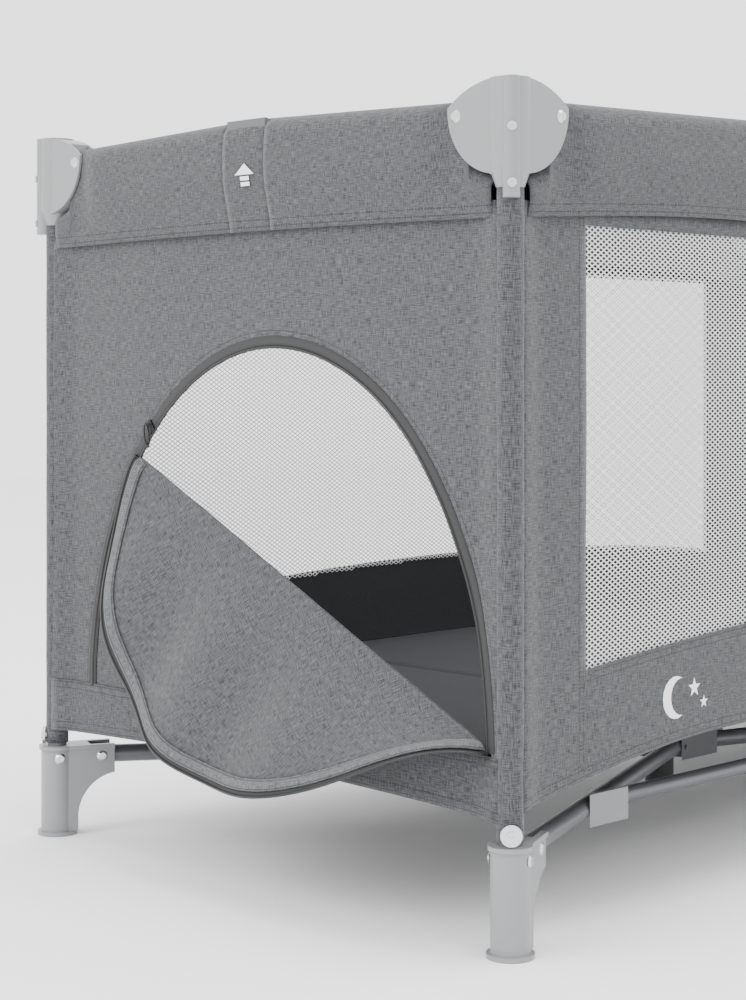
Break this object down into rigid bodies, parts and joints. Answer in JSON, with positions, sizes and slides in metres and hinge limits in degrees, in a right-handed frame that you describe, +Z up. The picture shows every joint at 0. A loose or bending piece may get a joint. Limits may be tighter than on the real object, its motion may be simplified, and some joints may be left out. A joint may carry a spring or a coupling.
{
  "type": "playpen",
  "caption": "Rectangular folding travel cot with tubular steel frame, moulded corner caps and feet, mesh windows in the long sides and a zipped arched door in one end",
  "frame": {"origin": "On the floor under the middle of the cot", "axes": "+X along the cot away from the door end, +Y across it, +Z up"},
  "size_m": [1.2618, 0.66, 0.7164],
  "materials": {
    "grey_steel": "satin grey powder coat",
    "light_plastic": "light grey moulded, semi-gloss",
    "grey_plastic": "mid grey moulded, fine texture",
    "black_plastic": "black moulded, fine texture",
    "zinc": "bright zinc plate",
    "black_metal": "black lacquered die casting",
    "melange_cloth": "melange grey woven polyester",
    "lining_cloth": "smooth dark grey woven polyester",
    "white_mesh": "white knitted mesh"
  },
  "bodies": {
    "corner_front_left": {"post_front_left": "grey_steel", "cap_front_left": "light_plastic", "foot_front_left": "light_plastic", "fasteners_front_left": "zinc", "wall_front": "melange_cloth", "mesh_front": "white_mesh", "wall_left": "melange_cloth"},
    "corner_front_right": {"post_front_right": "grey_steel", "cap_front_right": "light_plastic", "foot_front_right": "light_plastic", "fasteners_front_right": "zinc", "wall_right": "melange_cloth"},
    "corner_back_right": {"post_back_right": "grey_steel", "cap_back_right": "light_plastic", "foot_back_right": "light_plastic", "fasteners_back_right": "zinc"},
    "corner_back_left": {"post_back_left": "grey_steel", "cap_back_left": "light_plastic", "foot_back_left": "light_plastic", "fasteners_back_left": "zinc", "wall_back": "melange_cloth", "mesh_back": "white_mesh"},
    "rail_front_left_body": {"rail_front_left": "grey_steel"},
    "rail_front_right_body": {"rail_front_right": "grey_steel"},
    "rail_back_left_body": {"rail_back_left": "grey_steel"},
    "rail_back_right_body": {"rail_back_right": "grey_steel"},
    "rail_left_front_body": {"rail_left_front": "grey_steel"},
    "rail_left_back_body": {"rail_left_back": "grey_steel"},
    "rail_right_front_body": {"rail_right_front": "grey_steel"},
    "rail_right_back_body": {"rail_right_back": "grey_steel"},
    "lock_front_body": {"lock_front": "grey_plastic"},
    "button_front_body": {"button_front": "black_plastic"},
    "lock_back_body": {"lock_back": "grey_plastic"},
    "button_back_body": {"button_back": "black_plastic"},
    "lock_left_body": {"lock_left": "grey_plastic"},
    "button_left_body": {"button_left": "black_plastic"},
    "lock_right_body": {"lock_right": "grey_plastic"},
    "button_right_body": {"button_right": "black_plastic"},
    "arm_front_left_body": {"arm_front_left": "grey_steel"},
    "knuckle_front_left_body": {"knuckle_front_left": "light_plastic"},
    "bar_front_left_body": {"bar_front_left": "grey_steel"},
    "arm_front_right_body": {"arm_front_right": "grey_steel"},
    "knuckle_front_right_body": {"knuckle_front_right": "light_plastic"},
    "bar_front_right_body": {"bar_front_right": "grey_steel"},
    "arm_back_right_body": {"arm_back_right": "grey_steel"},
    "knuckle_back_right_body": {"knuckle_back_right": "light_plastic"},
    "bar_back_right_body": {"bar_back_right": "grey_steel"},
    "arm_back_left_body": {"arm_back_left": "grey_steel"},
    "knuckle_back_left_body": {"knuckle_back_left": "light_plastic"},
    "bar_back_left_body": {"bar_back_left": "grey_steel"},
    "hub_body": {"hub": "grey_plastic", "hub_foot": "black_plastic", "floor": "lining_cloth"},
    "door_flap_body": {"door_flap": "melange_cloth"},
    "zip_slider_body": {"zip_slider": "black_metal"},
    "mattress_1_body": {"mattress_1": "lining_cloth"},
    "mattress_2_body": {"mattress_2": "lining_cloth"},
    "mattress_3_body": {"mattress_3": "lining_cloth"},
    "mattress_4_body": {"mattress_4": "lining_cloth"}
  },
  "joints": [
    {"name": "fold", "type": "hinge", "parent": "corner_front_left", "child": "arm_front_left_body", "pos_m": [-0.56508, -0.2915, 0.079], "axis": [0.4206, -0.9073, 0], "range_deg": [0, 85], "deforming": ["wall_front", "wall_back", "wall_left", "wall_right", "mesh_front", "mesh_back", "floor", "door_flap", "zip_slider", "mattress_1", "mattress_2", "mattress_3", "mattress_4"]},
    {"name": "fold_hub", "type": "hinge", "parent": "arm_front_left_body", "child": "hub_body", "pos_m": [-0.03008, -0.04349, 0.06047], "axis": [0.4206, -0.9073, 0], "range_deg": [-85.5, 0]},
    {"name": "fold_arm_front_right", "type": "hinge", "parent": "hub_body", "child": "arm_front_right_body", "pos_m": [0.03008, -0.04349, 0.06047], "axis": [0.4206, 0.9073, 0], "range_deg": [0, 85.5]},
    {"name": "fold_corner_front_right", "type": "hinge", "parent": "arm_front_right_body", "child": "corner_front_right", "pos_m": [0.56508, -0.2915, 0.079], "axis": [0.4206, 0.9073, 0], "range_deg": [-85.5, 0]},
    {"name": "fold_arm_back_right", "type": "hinge", "parent": "hub_body", "child": "arm_back_right_body", "pos_m": [0.03008, 0.04349, 0.06047], "axis": [-0.4206, 0.9073, 0], "range_deg": [0, 85.5]},
    {"name": "fold_corner_back_right", "type": "hinge", "parent": "arm_back_right_body", "child": "corner_back_right", "pos_m": [0.56508, 0.2915, 0.079], "axis": [-0.4206, 0.9073, 0], "range_deg": [-85.5, 0]},
    {"name": "fold_arm_back_left", "type": "hinge", "parent": "hub_body", "child": "arm_back_left_body", "pos_m": [-0.03008, 0.04349, 0.06047], "axis": [-0.4206, -0.9073, 0], "range_deg": [0, 85.5]},
    {"name": "fold_corner_back_left", "type": "hinge", "parent": "arm_back_left_body", "child": "corner_back_left", "pos_m": [-0.56508, 0.2915, 0.079], "axis": [-0.4206, -0.9073, 0], "range_deg": [-85.5, 0]},
    {"name": "fold_rail_front_left", "type": "hinge", "parent": "corner_front_left", "child": "rail_front_left_body", "pos_m": [-0.557, -0.31, 0.685], "axis": [0, 1, 0], "range_deg": [0, 85.5]},
    {"name": "fold_rail_front_right", "type": "hinge", "parent": "corner_front_right", "child": "rail_front_right_body", "pos_m": [0.557, -0.31, 0.685], "axis": [0, -1, 0], "range_deg": [0, 85.5]},
    {"name": "fold_rail_back_left", "type": "hinge", "parent": "corner_back_left", "child": "rail_back_left_body", "pos_m": [-0.557, 0.31, 0.685], "axis": [0, 1, 0], "range_deg": [0, 85.5]},
    {"name": "fold_rail_back_right", "type": "hinge", "parent": "corner_back_right", "child": "rail_back_right_body", "pos_m": [0.557, 0.31, 0.685], "axis": [0, -1, 0], "range_deg": [0, 85.5]},
    {"name": "fold_rail_left_front", "type": "hinge", "parent": "corner_front_left", "child": "rail_left_front_body", "pos_m": [-0.605, -0.262, 0.685], "axis": [-1, 0, 0], "range_deg": [0, 85.5]},
    {"name": "fold_rail_left_back", "type": "hinge", "parent": "corner_back_left", "child": "rail_left_back_body", "pos_m": [-0.605, 0.262, 0.685], "axis": [1, 0, 0], "range_deg": [0, 85.5]},
    {"name": "fold_rail_right_front", "type": "hinge", "parent": "corner_front_right", "child": "rail_right_front_body", "pos_m": [0.605, -0.262, 0.685], "axis": [-1, 0, 0], "range_deg": [0, 85.5]},
    {"name": "fold_rail_right_back", "type": "hinge", "parent": "corner_back_right", "child": "rail_right_back_body", "pos_m": [0.605, 0.262, 0.685], "axis": [1, 0, 0], "range_deg": [0, 85.5]},
    {"name": "fold_lock_front", "type": "hinge", "parent": "rail_front_left_body", "child": "lock_front_body", "pos_m": [-0.022, -0.31, 0.70181], "axis": [0, 1, 0], "range_deg": [-85.5, 0]},
    {"name": "fold_lock_back", "type": "hinge", "parent": "rail_back_left_body", "child": "lock_back_body", "pos_m": [-0.022, 0.31, 0.70181], "axis": [0, 1, 0], "range_deg": [-85.5, 0]},
    {"name": "fold_lock_left", "type": "hinge", "parent": "rail_left_front_body", "child": "lock_left_body", "pos_m": [-0.605, -0.014, 0.69279], "axis": [-1, 0, 0], "range_deg": [-85.5, 0]},
    {"name": "fold_lock_right", "type": "hinge", "parent": "rail_right_front_body", "child": "lock_right_body", "pos_m": [0.605, -0.014, 0.69279], "axis": [-1, 0, 0], "range_deg": [-85.5, 0]},
    {"name": "fold_knuckle_front_left", "type": "hinge", "parent": "arm_front_left_body", "child": "knuckle_front_left_body", "pos_m": [-0.38363, -0.20738, 0.07272], "axis": [0.4206, -0.9073, 0], "range_deg": [-85.5, 0]},
    {"name": "fold_bar_front_left", "type": "hinge", "parent": "knuckle_front_left_body", "child": "bar_front_left_body", "pos_m": [-0.35355, -0.21388, 0.07772], "axis": [0, -1, 0], "range_deg": [0, 83.7]},
    {"name": "fold_knuckle_front_right", "type": "hinge", "parent": "arm_front_right_body", "child": "knuckle_front_right_body", "pos_m": [0.38363, -0.20738, 0.07272], "axis": [0.4206, 0.9073, 0], "range_deg": [-85.5, 0]},
    {"name": "fold_bar_front_right", "type": "hinge", "parent": "knuckle_front_right_body", "child": "bar_front_right_body", "pos_m": [0.35355, -0.21388, 0.07772], "axis": [0, 1, 0], "range_deg": [0, 83.7]},
    {"name": "fold_knuckle_back_right", "type": "hinge", "parent": "arm_back_right_body", "child": "knuckle_back_right_body", "pos_m": [0.38363, 0.20738, 0.07272], "axis": [-0.4206, 0.9073, 0], "range_deg": [-85.5, 0]},
    {"name": "fold_bar_back_right", "type": "hinge", "parent": "knuckle_back_right_body", "child": "bar_back_right_body", "pos_m": [0.35355, 0.21388, 0.07772], "axis": [0, 1, 0], "range_deg": [0, 83.7]},
    {"name": "fold_knuckle_back_left", "type": "hinge", "parent": "arm_back_left_body", "child": "knuckle_back_left_body", "pos_m": [-0.38363, 0.20738, 0.07272], "axis": [-0.4206, -0.9073, 0], "range_deg": [-85.5, 0]},
    {"name": "fold_bar_back_left", "type": "hinge", "parent": "knuckle_back_left_body", "child": "bar_back_left_body", "pos_m": [-0.35355, 0.21388, 0.07772], "axis": [0, -1, 0], "range_deg": [0, 83.7]},
    {"name": "press_front", "type": "slide", "parent": "lock_front_body", "child": "button_front_body", "axis": [0, 0, 1], "range_m": [0, 0.004], "stiffness_N_per_m": 800, "springref_m": -0.002},
    {"name": "press_back", "type": "slide", "parent": "lock_back_body", "child": "button_back_body", "axis": [0, 0, 1], "range_m": [0, 0.004], "stiffness_N_per_m": 800, "springref_m": -0.002},
    {"name": "press_left", "type": "slide", "parent": "lock_left_body", "child": "button_left_body", "axis": [0, 0, 1], "range_m": [0, 0.004], "stiffness_N_per_m": 800, "springref_m": -0.002},
    {"name": "press_right", "type": "slide", "parent": "lock_right_body", "child": "button_right_body", "axis": [0, 0, 1], "range_m": [0, 0.004], "stiffness_N_per_m": 800, "springref_m": -0.002},
    {"name": "door_flap_turn", "type": "hinge", "parent": "corner_front_left", "child": "door_flap_body", "pos_m": [-0.6068, -0.289, 0.166], "axis": [0, 0.8971, 0.4418], "range_deg": [0, 172]},
    {"name": "zip_run", "type": "hinge", "parent": "corner_front_left", "child": "zip_slider_body", "pos_m": [-0.6065, -0.0371, 0.2339], "axis": [1, 0, 0], "range_deg": [0, 145]},
    {"name": "mattress_lift", "type": "slide", "parent": "hub_body", "child": "mattress_2_body", "axis": [0, 0, 1], "range_m": [0, 0.62]},
    {"name": "mattress_fold", "type": "hinge", "parent": "mattress_2_body", "child": "mattress_1_body", "pos_m": [-0.29525, 0, 0.1647], "axis": [0, 1, 0], "range_deg": [0, 90]},
    {"name": "mattress_fold_middle", "type": "hinge", "parent": "mattress_2_body", "child": "mattress_3_body", "pos_m": [0, 0, 0.1647], "axis": [0, -1, 0], "range_deg": [0, 90.5]},
    {"name": "mattress_fold_end", "type": "hinge", "parent": "mattress_3_body", "child": "mattress_4_body", "pos_m": [0.29525, 0, 0.1647], "axis": [0, -1, 0], "range_deg": [0, 90.5]}
  ],
  "couplings": [
    {"joint": "fold_hub", "follows": "fold", "ratio": -1},
    {"joint": "fold_arm_front_right", "follows": "fold", "ratio": 1},
    {"joint": "fold_corner_front_right", "follows": "fold", "ratio": -1},
    {"joint": "fold_arm_back_right", "follows": "fold", "ratio": 1},
    {"joint": "fold_corner_back_right", "follows": "fold", "ratio": -1},
    {"joint": "fold_arm_back_left", "follows": "fold", "ratio": 1},
    {"joint": "fold_corner_back_left", "follows": "fold", "ratio": -1},
    {"joint": "fold_rail_front_left", "follows": "fold", "ratio": 1},
    {"joint": "fold_rail_front_right", "follows": "fold", "ratio": 1},
    {"joint": "fold_rail_back_left", "follows": "fold", "ratio": 1},
    {"joint": "fold_rail_back_right", "follows": "fold", "ratio": 1},
    {"joint": "fold_rail_left_front", "follows": "fold", "ratio": 1},
    {"joint": "fold_rail_left_back", "follows": "fold", "ratio": 1},
    {"joint": "fold_rail_right_front", "follows": "fold", "ratio": 1},
    {"joint": "fold_rail_right_back", "follows": "fold", "ratio": 1},
    {"joint": "fold_lock_front", "follows": "fold", "ratio": -1},
    {"joint": "fold_lock_back", "follows": "fold", "ratio": -1},
    {"joint": "fold_lock_left", "follows": "fold", "ratio": -1},
    {"joint": "fold_lock_right", "follows": "fold", "ratio": -1},
    {"joint": "fold_knuckle_front_left", "follows": "fold", "ratio": -1},
    {"joint": "fold_bar_front_left", "follows": "fold", "ratio": 0.97879},
    {"joint": "fold_knuckle_front_right", "follows": "fold", "ratio": -1},
    {"joint": "fold_bar_front_right", "follows": "fold", "ratio": 0.97879},
    {"joint": "fold_knuckle_back_right", "follows": "fold", "ratio": -1},
    {"joint": "fold_bar_back_right", "follows": "fold", "ratio": 0.97879},
    {"joint": "fold_knuckle_back_left", "follows": "fold", "ratio": -1},
    {"joint": "fold_bar_back_left", "follows": "fold", "ratio": 0.97879},
    {"joint": "mattress_fold_middle", "follows": "mattress_fold", "ratio": 1},
    {"joint": "mattress_fold_end", "follows": "mattress_fold", "ratio": 1}
  ]
}
